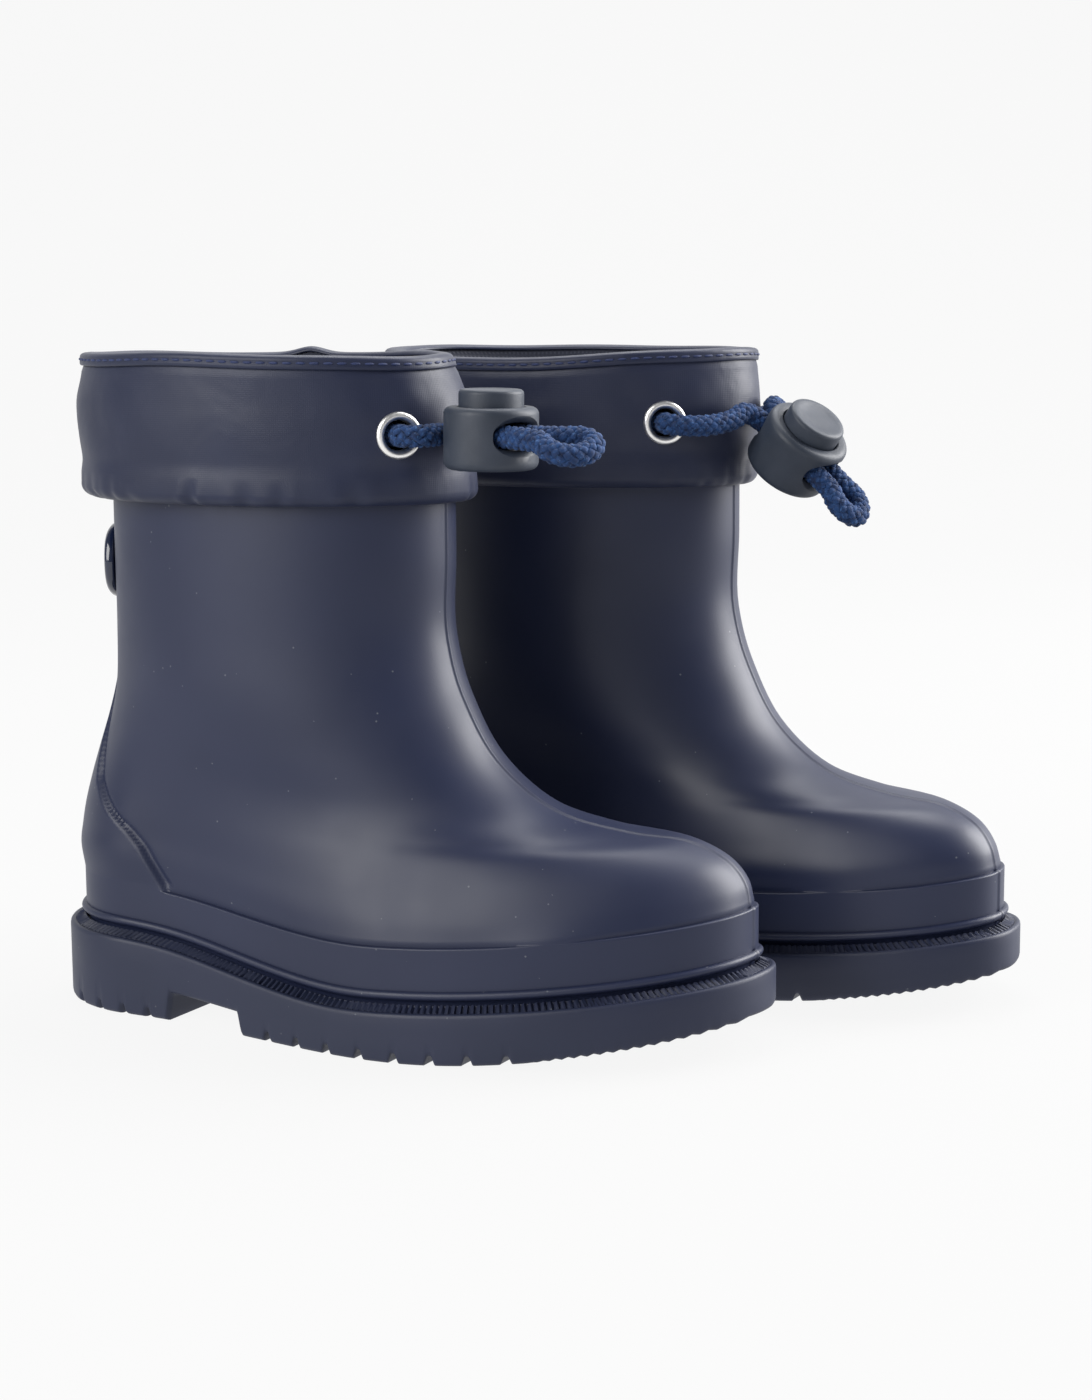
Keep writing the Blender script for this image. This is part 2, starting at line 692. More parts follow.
FLOOR_GLOW = 0.90
UPPER_PVC = moulded_pvc("upper_pvc", (0.0100, 0.0145, 0.0400), (0.0130, 0.0180, 0.0470), 0.45, 0.5)
SOLE_PVC = moulded_pvc("sole_pvc", (0.0100, 0.0145, 0.0370), (0.0130, 0.0175, 0.0430), 0.50, 0.35)
COLLAR_FABRIC = coated_fabric()
FACING_KNIT = knit("facing_knit", (0.014, 0.017, 0.032), (0.030, 0.034, 0.055))
LINING_KNIT = knit("lining_knit", (0.12, 0.125, 0.14), (0.26, 0.27, 0.29))
CORD_YARN = braided_cord()
STITCH_THREAD = thread()
LOCK_PLASTIC = matte_plastic()
NICKEL_PLATE = nickel()
SPRING_WIRE = spring_steel()
BADGE_GLOSS = glossy_badge()
INLAY_CREAM = cream_inlay()
FOOTBED_FELT = footbed_felt()


# ---------------------------------------------------------------- stage: camera, floor and lights

def camera_directions():
    yaw = math.radians(CAMERA_YAW)
    pitch = math.radians(CAMERA_PITCH)
    ahead = Vector((-math.sin(yaw), math.cos(yaw), 0.0))
    right = Vector((math.cos(yaw), math.sin(yaw), 0.0))
    look = ahead * math.cos(pitch) - Vector((0.0, 0.0, math.sin(pitch)))
    return ahead, right, look


def make_camera():
    data = bpy.data.cameras.new("camera")
    data.lens = CAMERA_LENS
    data.sensor_width = 36.0
    data.clip_start = 0.01
    data.clip_end = 20.0
    camera = bpy.data.objects.new("camera", data)
    bpy.context.scene.collection.objects.link(camera)
    camera.location = CAMERA_PLACE
    _, _, look = camera_directions()
    camera.rotation_mode = "QUATERNION"
    roll = Quaternion(look, math.radians(CAMERA_ROLL))
    camera.rotation_quaternion = roll @ look.to_track_quat("-Z", "Y")
    bpy.context.scene.camera = camera


def make_floor():
    """A pale paper sweep: flat under the boots, curving up behind them, square to the camera."""
    ahead, right, _ = camera_directions()
    reach, rise, half = 1.6, 2.2, 3.0
    profile = [(-3.0, 0.0), (0.0, 0.0), (reach - 0.7, 0.0)]
    profile += [(reach - 0.7 + 0.7 * math.sin(a), 0.7 - 0.7 * math.cos(a))
                for a in np.linspace(0.1, math.pi / 2, 12)]
    profile.append((reach, rise))
    verts = []
    for along, up in profile:
        for across in (-half, half):
            verts.append(ahead * along + right * across + Vector((0.0, 0.0, up)))
    faces = [(2 * i, 2 * i + 1, 2 * i + 3, 2 * i + 2) for i in range(len(profile) - 1)]
    floor = add_mesh("floor_sweep", [tuple(v) for v in verts], faces, floor_paper())


def make_light(name, angle, distance, height, size, power, colour=(1.0, 1.0, 1.0)):
    """A softbox at an angle round from the camera's side, positive to the camera's right."""
    ahead, right, _ = camera_directions()
    a = math.radians(angle)
    place = (-ahead * math.cos(a) + right * math.sin(a)) * distance
    place.z = height
    data = bpy.data.lights.new(name, "AREA")
    data.shape = "RECTANGLE"
    data.size, data.size_y = size
    data.energy = power
    data.color = colour
    light = bpy.data.objects.new(name, data)
    bpy.context.scene.collection.objects.link(light)
    light.location = place
    light.rotation_mode = "QUATERNION"
    light.rotation_quaternion = (TARGET - place).to_track_quat("-Z", "Y")


def make_world():
    world = bpy.data.worlds.new("world")
    world.use_nodes = True
    background = world.node_tree.nodes["Background"]
    background.inputs["Color"].default_value = (0.93, 0.95, 1.0, 1.0)
    background.inputs["Strength"].default_value = 0.22
    bpy.context.scene.world = world
    bpy.context.scene.view_settings.view_transform = "Standard"


def make_stage():
    make_camera()
    make_world()
    make_floor()
    make_light("softbox_left", -52.0, 1.15, 0.62, (0.9, 1.0), 17.5, (1.0, 0.99, 0.97))
    make_light("softbox_right", 104.0, 1.1, 0.60, (0.8, 1.0), 37.0, (1.0, 0.99, 0.98))
    make_light("softbox_top", 170.0, 0.5, 1.25, (0.9, 0.7), 14.0)


# ---------------------------------------------------------------- cords and locks

def lock_place(side):
    if side.name == "right":
        return Vector((112.0, -9.9, 127.4)), Vector((0.94, -0.34, -0.02)), Vector((0.0, 0.0, 1.0))
    return Vector((112.6, 4.0, 121.3)), Vector((0.757, 0.111, -0.644)), Vector((0.604, 0.22, 0.766))


def lock_point(side, forward_by, side_by, up_by):
    centre, forward, up = lock_place(side)
    forward = forward.normalized()
    across = up.cross(forward).normalized()
    up = forward.cross(across)
    return centre + forward * forward_by + across * side_by + up * up_by


def lock_matrix(side):
    centre, forward, up = lock_place(side)
    place = Vector(side.world(tuple(centre)))
    return frame_matrix(place, side.turn(forward), side.turn(up))


def eyelet_route(hand):
    centre, tangent, normal = eyelet_frame(hand)
    end_angle = hand * (eyelet_angle(hand) + FACET / 2.0)
    tunnel_end = Vector(shaft_point(end_angle, TUNNEL_OFFSET, EYELET_HEIGHT)) - centre
    bend = -tunnel_end.dot(tangent) - 1.5 * GAP
    depth = -tunnel_end.dot(normal)
    route = []
    for degrees in (0.0, 22.5, 45.0, 67.5, 90.0):
        a = math.radians(degrees)
        back = bend * (math.sin(a) - 1.0)
        out = bend * (1.0 - math.cos(a)) - depth
        route.append(centre + tangent * back + normal * out)
    route.append(centre + normal * 1.2)
    return route


def cord_route(side):
    right = side.name == "right"
    lateral, medial, loop = ((RIGHT_LATERAL, RIGHT_MEDIAL, RIGHT_LOOP) if right
                             else (LEFT_LATERAL, LEFT_MEDIAL, LEFT_LOOP))
    inside = (-8.0, -2.0, 5.0, 10.5)
    route = eyelet_route(-1)
    middle = [Vector(p) for p in lateral]
    middle += [lock_point(side, f, -STRAND_SIDE, CORD_LIFT) for f in inside]
    middle += [lock_point(side, *p) for p in loop]
    middle += [lock_point(side, f, STRAND_SIDE, CORD_LIFT) for f in reversed(inside)]
    middle += [Vector(p) for p in reversed(medial)]
    far = list(reversed(eyelet_route(1)))
    curve = smooth_route([route[-1]] + middle + [far[0]], 8)
    return np.array([tuple(p) for p in route[:-1] + curve + far[1:]])


def even_points(points, step):
    """Points an equal step apart along a line, in place of its own."""
    lengths = np.concatenate([[0.0], np.cumsum(np.linalg.norm(np.diff(points, axis=0), axis=1))])
    count = int(lengths[-1] / step) + 1
    places = np.linspace(0.0, lengths[-1], count)
    return np.stack([np.interp(places, lengths, points[:, k]) for k in range(3)], -1), lengths[-1]


def carried_frames(line):
    """Two directions across a line at each point, carried along it without twisting."""
    tangents = np.gradient(line, axis=0)
    tangents /= np.linalg.norm(tangents, axis=1, keepdims=True)
    first = np.cross(tangents[0], (0.0, 0.0, 1.0))
    first /= np.linalg.norm(first)
    across = [first]
    for tangent in tangents[1:]:
        carried = across[-1] - tangent * np.dot(across[-1], tangent)
        across.append(carried / np.linalg.norm(carried))
    across = np.array(across)
    return tangents, across, np.cross(tangents, across)


YARNS = 6
BRAID_PITCH = 11.5
BRAID_RADIUS = 1.68
BRAID_WEAVE = 0.34
YARN_HALF_WIDTH = 0.80
YARN_HALF_THICKNESS = 0.46
CORE_RADIUS = 1.25
YARN_SIDES = 8


def tube_grid(centres, first, second, half_first, half_second, sides):
    """A tube as a grid of rings round its centres."""
    a = 2.0 * np.pi * np.arange(sides) / sides
    return (centres[:, None] + half_first * np.cos(a)[None, :, None] * first[:, None]
            + half_second * np.sin(a)[None, :, None] * second[:, None])


def make_cord(side):
    """The free stretch of drawcord: two sets of yarns braided over and under each other."""
    line, length = even_points(cord_route(side), 0.34)
    tangents, across, up = carried_frames(line)
    places = np.linspace(0.0, length, len(line))
    over = np.cos(2.0 * np.pi * YARNS * places / BRAID_PITCH)
    verts, faces, uv, base = [], [], [], 0
    grids = [tube_grid(line, across, up, CORE_RADIUS, CORE_RADIUS, YARN_SIDES)]
    for way in (-1, 1):
        for k in range(YARNS):
            turn = 2.0 * np.pi * (k / YARNS + way * places / BRAID_PITCH)
            out = np.cos(turn)[:, None] * across + np.sin(turn)[:, None] * up
            centres = line + out * (BRAID_RADIUS + way * BRAID_WEAVE * over)[:, None]
            along = np.gradient(centres, axis=0)
            flat = np.cross(along, out)
            flat /= np.linalg.norm(flat, axis=1, keepdims=True)
            grids.append(tube_grid(centres, flat, out, YARN_HALF_WIDTH, YARN_HALF_THICKNESS, YARN_SIDES))
    for grid in grids:
        rows, count = grid.shape[:2]
        verts.append(grid.reshape(-1, 3))
        own = grid_faces(rows, count)
        faces += [tuple(f) for f in (own + base)]
        uv += list(grid_uv(grid * MM).reshape(-1, 2))
        for ring in (range(count), range((rows - 1) * count, rows * count)):
            faces.append(tuple(base + i for i in ring))
            uv += [(0.0, 0.0)] * count
        base += rows * count
    item = add_mesh(side.name + "_drawcord_braid", side.world(np.vstack(verts)), faces, CORD_YARN, uv=uv)
    dress(item, side, ["drawcord"])
    start, _, _ = eyelet_frame(-1)
    tuple(side.world(tuple(start)))
    side.world(line).tolist()


def superellipse(half_width, half_height, count, power=2.6):
    a = 2.0 * np.pi * np.arange(count) / count
    c, s = np.cos(a), np.sin(a)
    return (half_width * np.sign(c) * np.abs(c) ** (2.0 / power),
            half_height * np.sign(s) * np.abs(s) ** (2.0 / power))


def window_cutter(matrix):
    """An oval tunnel through the lock that flares softly where it leaves the barrel."""
    count = 56
    width, height = superellipse(WINDOW_HALF_WIDTH, WINDOW_HALF_HEIGHT, count)
    rows = []
    for x in np.linspace(-13.0, 13.0, 53):
        reach = np.sqrt(x ** 2 + width ** 2)
        flare = 1.3 * np.clip((reach - (LOCK_RADIUS - 1.5)) / 1.5, 0.0, 1.3) ** 2
        rows.append(np.stack([np.full(count, x), width * (1.0 + flare / WINDOW_HALF_WIDTH),
                              CORD_LIFT + height * (1.0 + flare / WINDOW_HALF_HEIGHT)], -1))
    grid = placed(np.array(rows), matrix)
    faces = [tuple(f) for f in grid_faces(len(rows), count)]
    faces += [tuple(range(count)), tuple(range((len(rows) - 1) * count, len(rows) * count))]
    return add_mesh("window_cutter", grid.reshape(-1, 3), faces, LOCK_PLASTIC)


def make_lock_body(side):
    matrix = lock_matrix(side)
    top, low, wide = LOCK_HALF_HEIGHT, -LOCK_HALF_HEIGHT, LOCK_RADIUS
    profile = [(0.0, low), (3.5, low), (6.5, low)]
    profile += arc((wide - 1.7, low + 1.7), 1.7, -90.0, 0.0, 10)
    profile += [(wide, z) for z in (-3.5, -2.0, -0.5, 1.0, 2.5, 3.8)]
    profile += arc((wide - 1.5, top - 1.5), 1.5, 0.0, 90.0, 10)
    profile += arc((LOCK_BORE + 0.35, top - 0.35), 0.35, 90.0, 180.0, 5)
    profile += [(LOCK_BORE, z) for z in (4.0, 1.0, -2.0, LOCK_FLOOR)]
    profile += [(3.5, LOCK_FLOOR), (0.0, LOCK_FLOOR)]
    grid = placed(lathe(profile, LOCK_SEGMENTS), matrix)
    faces = grid_faces(len(profile), LOCK_SEGMENTS)
    item = add_mesh(side.name + "_lock_barrel", grid.reshape(-1, 3), faces, LOCK_PLASTIC, weld=0.000001)
    cut(item, window_cutter(matrix))
    return dress(item, side, ["lock_body"], "lock")


def make_lock_button(side):
    matrix = lock_matrix(side)
    top = LOCK_HALF_HEIGHT + BUTTON_PROUD
    bar_top = CORD_LIFT - CORD_RADIUS - 0.2
    low = bar_top - BAR_THICKNESS
    wide = BUTTON_RADIUS
    profile = [(0.0, low), (wide, low), (wide, 0.0), (wide, 3.0), (wide, 6.0), (wide, 7.8)]
    profile += arc((wide - 0.9, top - 0.9), 0.9, 0.0, 90.0, 9)
    profile += [(5.0, top), (4.6, top - 0.12), (2.5, top - 0.22), (0.0, top - 0.25)]
    grid = placed(lathe(profile, LOCK_SEGMENTS), matrix)
    faces = grid_faces(len(profile), LOCK_SEGMENTS)
    item = add_mesh(side.name + "_lock_plunger", grid.reshape(-1, 3), faces, LOCK_PLASTIC, weld=0.000001)
    high = CORD_LIFT + CORD_RADIUS + GAP + BUTTON_TRAVEL
    half = WINDOW_HALF_WIDTH + 0.2
    corners = [(x, y, z) for x in (-9.0, 9.0) for y in (-half, half) for z in (bar_top, high)]
    box = [(0, 1, 3, 2), (4, 5, 7, 6), (0, 1, 5, 4), (2, 3, 7, 6), (0, 2, 6, 4), (1, 3, 7, 5)]
    cutter = add_mesh("passage_cutter", placed(corners, matrix), box, LOCK_PLASTIC)
    cut(item, cutter)
    return dress(item, side, ["lock_button"], "button")


# ---------------------------------------------------------------- outsole and upper

def make_outsole(side):
    fine = round_stations(6000)
    edge = outline_point(fine, -1, 0.0, 0.0)[:, :2]
    run = np.concatenate([[0.0], np.cumsum(np.linalg.norm(np.diff(edge, axis=0), axis=1))])
    count = int(run[-1] / SOLE_STEP)
    stations = np.interp(np.linspace(0.0, run[-1], count + 1), run, fine)
    grooves = list(HEEL_GROOVES) + [TREAD_START + TREAD_PITCH * i for i in range(TREAD_COUNT)]

    def tread(u, hand, inset, lift):
        points = outline_point(u, hand, inset, 0.0)
        x = u * SOLE_LENGTH
        bottom = sole_bottom(x) + lift
        for groove in grooves:
            near = 1.0 - smoothstep(0.30, 1.25, np.abs(x - groove))
            bottom += GROOVE_DEPTH * near * mix(1.0, 0.75, smoothstep(110.0, 130.0, x))
        saw = np.abs((x / 2.4) % 1.0 - 0.5) * 2.0
        bottom += 0.45 * saw * smoothstep(128.0, 136.0, x)
        points[:, 2] = bottom
        return points

    def welt(u, hand, inset, lift):
        points = outline_point(u, hand, inset, lift)
        path = np.concatenate([[0.0], np.cumsum(np.linalg.norm(np.diff(points[:, :2], axis=0), axis=1))])
        phase = (path / NOTCH_PITCH) % 1.0
        points[:, 2] -= NOTCH_DEPTH * smoothstep(0.42, 0.52, phase) * (1.0 - smoothstep(0.86, 0.98, phase))
        return points

    rows = [
        closed_loop(stations, lambda u, s: tread(u, s, 1.3, 0.0)),
        closed_loop(stations, lambda u, s: tread(u, s, 0.9, 0.05)),
        closed_loop(stations, lambda u, s: tread(u, s, 0.35, 0.35)),
        closed_loop(stations, lambda u, s: tread(u, s, 0.1, 0.8)),
        closed_loop(stations, lambda u, s: tread(u, s, 0.0, 1.4)),
    ]
    wall = closed_loop(stations, lambda u, s: outline_point(u, s, 0.0, -1.0))
    rows += [mix(rows[4], wall, t) for t in (0.35, 0.7, 1.0)]
    rows += [
        closed_loop(stations, lambda u, s: outline_point(u, s, 0.1, -0.45)),
        closed_loop(stations, lambda u, s: outline_point(u, s, 0.35, -0.12)),
        closed_loop(stations, lambda u, s: outline_point(u, s, 0.8, 0.0)),
        closed_loop(stations, lambda u, s: outline_point(u, s, 1.15, -0.05)),
        closed_loop(stations, lambda u, s: welt(u, s, 1.3, 0.10)),
        closed_loop(stations, lambda u, s: welt(u, s, 3.3, 1.25)),
        closed_loop(stations, lambda u, s: outline_point(u, s, 3.55, 1.0)),
        closed_loop(stations, lambda u, s: outline_point(u, s, 3.9, -0.55)),
        closed_loop(stations, lambda u, s: outline_point(u, s, 5.5, -0.55)),
        closed_loop(stations, lambda u, s: outline_point(u, s, 5.8, 0.0)),
    ]
    grid = side.world(np.array(rows))
    last = len(stations) - 1
    faces = [tuple(f) for f in grid_faces(len(rows), 2 * last)]
    faces += ladder_faces(0, last, False)
    faces += ladder_faces((len(rows) - 1) * 2 * last, last, True)
    item = add_mesh(side.name + "_outsole_moulded", grid.reshape(-1, 3), faces, SOLE_PVC, sharp=48.0)
    dress(item, side, ["outsole"])


def band_profile():
    """The foxing band from the outsole up: recess, bead, face and top step, as (share, lift, proud)."""
    steps = [(0.0, GAP, 0.2), (0.0, 1.1, 0.2), (0.0, BEAD_LIFT - BEAD_RADIUS - 0.15, 0.45)]
    for a in range(-75, 91, 15):
        angle = math.radians(a)
        steps.append((0.0, BEAD_LIFT + BEAD_RADIUS * math.sin(angle), 0.9 + 1.05 * math.cos(angle)))
    start = BEAD_LIFT + BEAD_RADIUS + 0.25
    for share in (0.0, 0.12, 0.3, 0.5, 0.7, 0.85, 0.95):
        steps.append((share, (1.0 - share) * start, BAND_PROUD))
    steps += [(1.0, -0.28, BAND_PROUD), (1.0, -0.08, BAND_PROUD - 0.10), (1.0, 0.03, BAND_PROUD - 0.35),
              (1.0, 0.06, 0.25), (1.0, 0.12, -0.05), (1.0, 0.5, -0.05), (1.0, 0.9, 0.0)]
    return steps


def upper_grid(count, steps, with_band):
    stations = round_stations(count)
    profile = band_profile() if with_band else [(0.0, 2.0 * GAP, 0.0), (1.0, 0.9, 0.0)]
    band = [closed_loop(stations, lambda u, s: band_point(u, s, UPPER_INSET - proud, lift, share))
            for share, lift, proud in profile]
    rings = [closed_loop(stations, lambda u, s: ring_point(u, s, ring)) for ring in UPPER_RINGS]
    upper = smooth_rows([band[-1]] + rings, steps)
    return np.concatenate([np.array(band[:-1]), upper]), len(band)


def make_upper(side):
    count = 370
    grid, band_rows = upper_grid(count, 7, True)
    normals = grid_normals(grid)
    outward = normals[band_rows - 9] * (1.0, 1.0, 0.0)
    outward /= np.linalg.norm(outward, axis=1, keepdims=True)
    step = 7
    missing = np.full(len(grid), BAND_PROUD)
    missing[:band_rows] = [BAND_PROUD - proud for _, _, proud in band_profile()]
    missing[:band_rows - step] = 0.0
    angle = np.degrees(np.arctan2(np.abs(grid[..., 1]), 26.0 - grid[..., 0]))
    limit = np.interp(grid[..., 2], COUNTER_HEIGHTS, COUNTER_ANGLES)
    counter = 1.0 - smoothstep(limit - 1.6, limit + 1.6, angle)
    counter = counter * mix(1.0, 0.4, smoothstep(50.0, 80.0, grid[..., 2]))
    above = np.maximum(grid[..., 2] - grid[band_rows - step - 1, :, 2], 0.0)
    fade = np.exp(-((grid[..., 0] - BAND_FADE_CENTRE) / BAND_FADE_REACH) ** 2 - (above / 4.0) ** 2)
    flush = np.maximum(counter, fade) * missing[:, None]
    groove = -COUNTER_GROOVE * np.exp(-((angle - limit - 2.6) / 2.2) ** 2)
    groove[:band_rows] = 0.0
    front = grid[:, count:count + 1]
    away = np.linalg.norm(grid - front, axis=2)
    ridge = PARTING_RAISE * np.exp(-(away / 0.45) ** 2)
    outer = grid + outward * flush[..., None] + normals * (groove + ridge)[..., None]
    chosen = list(range(len(grid) - 1, band_rows, -9)) + [band_rows, 0]
    inner = grid[chosen] - normals[chosen] * WALL
    shell = side.world(np.concatenate([outer, inner]))
    item = add_grid(side.name + "_upper_moulded", shell, UPPER_PVC, sharp=62.0)
    dress(item, side, ["upper"])


def make_lining(side):
    grid, _ = upper_grid(90, 5, False)
    normals = grid_normals(grid)
    outer = grid - normals * (WALL + 3.0 * GAP)
    inner = grid - normals * (WALL + 3.0 * GAP + LINING_THICKNESS)
    shell = side.world(np.concatenate([outer, inner[::-1]]))
    item = add_grid(side.name + "_lining_knit", shell, LINING_KNIT)
    dress(item, side, ["lining"])


def make_footbed(side):
    stations = round_stations(90)
    steps = ((0.5, GAP), (0.0, 0.8), (0.0, 2.6), (0.25, 3.1), (0.8, 3.3))
    rows = [closed_loop(stations, lambda u, s: outline_point(u, s, FOOTBED_INSET + inset, lift))
            for inset, lift in steps]
    grid = side.world(np.array(rows))
    last = len(stations) - 1
    faces = [tuple(f) for f in grid_faces(len(rows), 2 * last)]
    faces += ladder_faces(0, last, False)
    faces += ladder_faces((len(rows) - 1) * 2 * last, last, True)
    item = add_mesh(side.name + "_footbed_felt", grid.reshape(-1, 3), faces, FOOTBED_FELT, sharp=60.0)
    dress(item, side, ["footbed"])


# ---------------------------------------------------------------- collar

COLLAR_POINTS = 540


def turn_between(angle, centre):
    """The shortest turn from a centre to an angle, in degrees."""
    return (angle - centre + 180.0) % 360.0 - 180.0


def rim_lift(side, angle):
    """How far the soft rim stands above or below its level height."""
    a = np.radians(angle)
    lift = 0.28 * np.sin(2.0 * a + 0.8) + 0.16 * np.sin(3.0 * a - 0.7) + 0.10 * np.sin(7.0 * a + 1.3)
    if side.name == "right":
        lift = lift + 0.9 * np.exp(-(turn_between(angle, -100.0) / 42.0) ** 2)
        lift = lift + 1.3 * np.exp(-(turn_between(angle, 101.0) / 6.0) ** 2)
    else:
        lift = lift - 1.5 * np.exp(-(turn_between(angle, 95.0) / 55.0) ** 2)
    return lift


def rim_lean(side, angle, z):
    """How far the gathered front of the right collar leans in towards the rim."""
    if side.name == "left":
        return 0.0 * angle
    rise = np.clip((z - 122.0) / 22.0, 0.0, 1.0) ** 2
    return -6.3 * rise * np.exp(-(turn_between(angle, 28.0) / 44.0) ** 2)


def collar_creases(side):
    """Short dents over the turned-under edge: angle, depth, half-spread in degrees, and height."""
    rng = np.random.default_rng(11 if side.name == "right" else 23)
    creases = [(-92.0, 0.75, 1.6, 4.2), (-77.0, 0.45, 2.2, 3.6), (-66.0, 0.40, 2.0, 3.4),
               (-45.0, 0.50, 3.0, 4.5)]
    for _ in range(16):
        creases.append((rng.uniform(0.0, 250.0), rng.uniform(0.15, 0.4), rng.uniform(1.2, 3.0),
                        rng.uniform(2.5, 6.5)))
    return creases


def collar_swell(side, angle, z):
    """How far the soft outer fabric stands out from or sinks below its smooth shape."""
    a = np.radians(angle)
    phase = 0.0 if side.name == "right" else 1.7
    low = (0.38 * np.sin(2.0 * a + 0.6 + phase) + 0.26 * np.sin(3.0 * a + 2.1 - phase + z * 0.05)
           + 0.16 * np.sin(5.0 * a + 0.4 + z * 0.11) + 0.07 * np.sin(11.0 * a + z * 0.27 + phase))
    swell = low * smoothstep(141.0, 133.0, z)
    swell = swell + 0.35 * np.exp(-((z - 131.0) / 6.0) ** 2) - 0.25 * np.exp(-((z - 121.0) / 3.0) ** 2)
    for centre, depth, spread, height in collar_creases(side):
        across = turn_between(angle + 0.8 * np.sin(z * 0.6 + centre), centre)
        near = np.exp(-(across / spread) ** 2)
        lip = np.exp(-((np.abs(across) - 1.9 * spread) / spread) ** 2)
        low_down = 1.0 - smoothstep(0.0, height, z - COLLAR_BOTTOM - 1.0)
        swell = swell + depth * (0.4 * lip - near) * low_down
    for hand in (-1, 1):
        centre = hand * eyelet_angle(hand)
        across = turn_between(angle, centre)
        ray = np.cos(np.arctan2(z - EYELET_HEIGHT, across * 0.6) * 5.0)
        far = np.sqrt((across * 0.6) ** 2 + (z - EYELET_HEIGHT) ** 2)
        swell = swell + 0.22 * ray * np.exp(-((far - 9.0) / 4.5) ** 2)
        swell = swell * (1.0 - 0.9 * np.exp(-(far / 5.5) ** 2))
    return swell


def collar_line():
    """The collar's fabric in section, from the rim down, round the fold and up under it."""
    c = COLLAR_PROUD - FABRIC / 2.0
    line = [(c - 0.9, COLLAR_TOP - 1.5), (c - 0.6, COLLAR_TOP - 2.6)]
    for z in np.linspace(139.8, 118.6, 34):
        line.append((c - 0.15 * smoothstep(134.0, 140.0, z) + 0.25 * smoothstep(122.0, 118.0, z), z))
    bottom = COLLAR_BOTTOM + FABRIC / 2.0
    line += arc((c - 2.15, bottom + 2.4), 2.4, 0.0, -90.0, 12)[1:]
    line += [(GAP + 1.6, bottom + 0.1), (GAP + 0.9, bottom + 0.5), (GAP + 0.55, bottom + 1.3),
             (GAP + 0.5, bottom + 3.0), (GAP + 0.5, bottom + 5.0)]
    return line


def section_sides(line, thickness):
    """A closed section that keeps half a thickness to each side of an open line."""
    line = np.array(line)
    along = np.gradient(line, axis=0)
    across = np.stack([along[:, 1], -along[:, 0]], -1)
    across /= np.linalg.norm(across, axis=1, keepdims=True)
    half = across * thickness / 2.0
    return np.concatenate([line - half, (line + half)[::-1]])


def ring_grid(side, section, swell=None, lift=None):
    """A closed section taken round the shaft, as a grid in the row frame."""
    angles = 360.0 * np.arange(COLLAR_POINTS) / COLLAR_POINTS
    rows = []
    for offset, z in section:
        out = np.full(COLLAR_POINTS, float(offset))
        height = np.full(COLLAR_POINTS, float(z))
        if swell is not None:
            weight = smoothstep(1.2, 3.2, offset)
            out = out + weight * swell(angles, height)
        out = out + rim_lean(side, angles, height)
        if lift is not None:
            height = height + lift(angles) * smoothstep(128.0, 141.0, z)
        rows.append(shaft_point(angles, out, height))
    return side.world(np.array(rows))


def collar_swell_of(side):
    return lambda angle, z: collar_swell(side, angle, z)


def rim_lift_of(side):
    return lambda angle: rim_lift(side, angle)


def clear_of_eyelets(side):
    """Leaves out the faces that an eyelet's shank passes through."""
    spots = []
    for hand in (-1, 1):
        centre, _, normal = eyelet_frame(hand)
        spots.append((side.world(tuple(centre)), np.array(side.turn(normal))))

    def keep(centres):
        kept = np.ones(len(centres), bool)
        for spot, normal in spots:
            away = centres - spot
            depth = away @ normal
            across = np.linalg.norm(away - depth[:, None] * normal, axis=1)
            kept &= ~((across < 3.9 * MM) & (np.abs(depth) < 3.0 * MM))
        return kept

    return keep


def make_collar(side):
    section = section_sides(collar_line(), FABRIC)
    grid = ring_grid(side, section, collar_swell_of(side), rim_lift_of(side))
    item = add_grid(side.name + "_collar_fabric", grid, COLLAR_FABRIC, keep=clear_of_eyelets(side))
    dress(item, side, ["collar"])


def make_facing(side):
    line = [(FACING_OUTSIDE - 0.35, z) for z in np.linspace(121.6, 133.0, 16)]
    top = (COLLAR_PROUD - 3.3, COLLAR_TOP - 1.3)
    for t in smoothstep(0.0, 1.0, np.linspace(0.0, 1.0, 14))[1:]:
        line.append((mix(FACING_OUTSIDE - 0.35, top[0], t), mix(133.0, top[1], t ** 0.8)))

    section = section_sides(line, 0.7)
    grid = ring_grid(side, section, None, rim_lift_of(side))
    item = add_grid(side.name + "_collar_facing_knit", grid, FACING_KNIT)
    dress(item, side, ["collar_facing"])


def make_binding(side):
    p, t = COLLAR_PROUD, COLLAR_TOP
    section = [(p + 0.06, t - 2.8), (p + 0.20, t - 2.5), (p + 0.22, t - 2.0), (p + 0.08, t - 1.5),
               (p + 0.18, t - 1.1), (p + 0.10, t - 0.65), (p - 0.20, t - 0.28), (p - 0.80, t - 0.04),
               (p - 1.80, t + 0.08), (p - 2.90, t), (p - 3.80, t - 0.3), (p - 4.30, t - 0.8),
               (p - 4.20, t - 1.1), (p - 3.40, t - 1.0), (p - 2.00, t - 0.8), (p - 1.00, t - 0.85),
               (p - 0.60, t - 1.3), (p - 0.42, t - 2.0), (p - 0.36, t - 2.8)]
    grid = ring_grid(side, section, None, rim_lift_of(side))
    item = add_grid(side.name + "_collar_hem", grid, COLLAR_FABRIC)
    dress(item, side, ["collar_binding"])


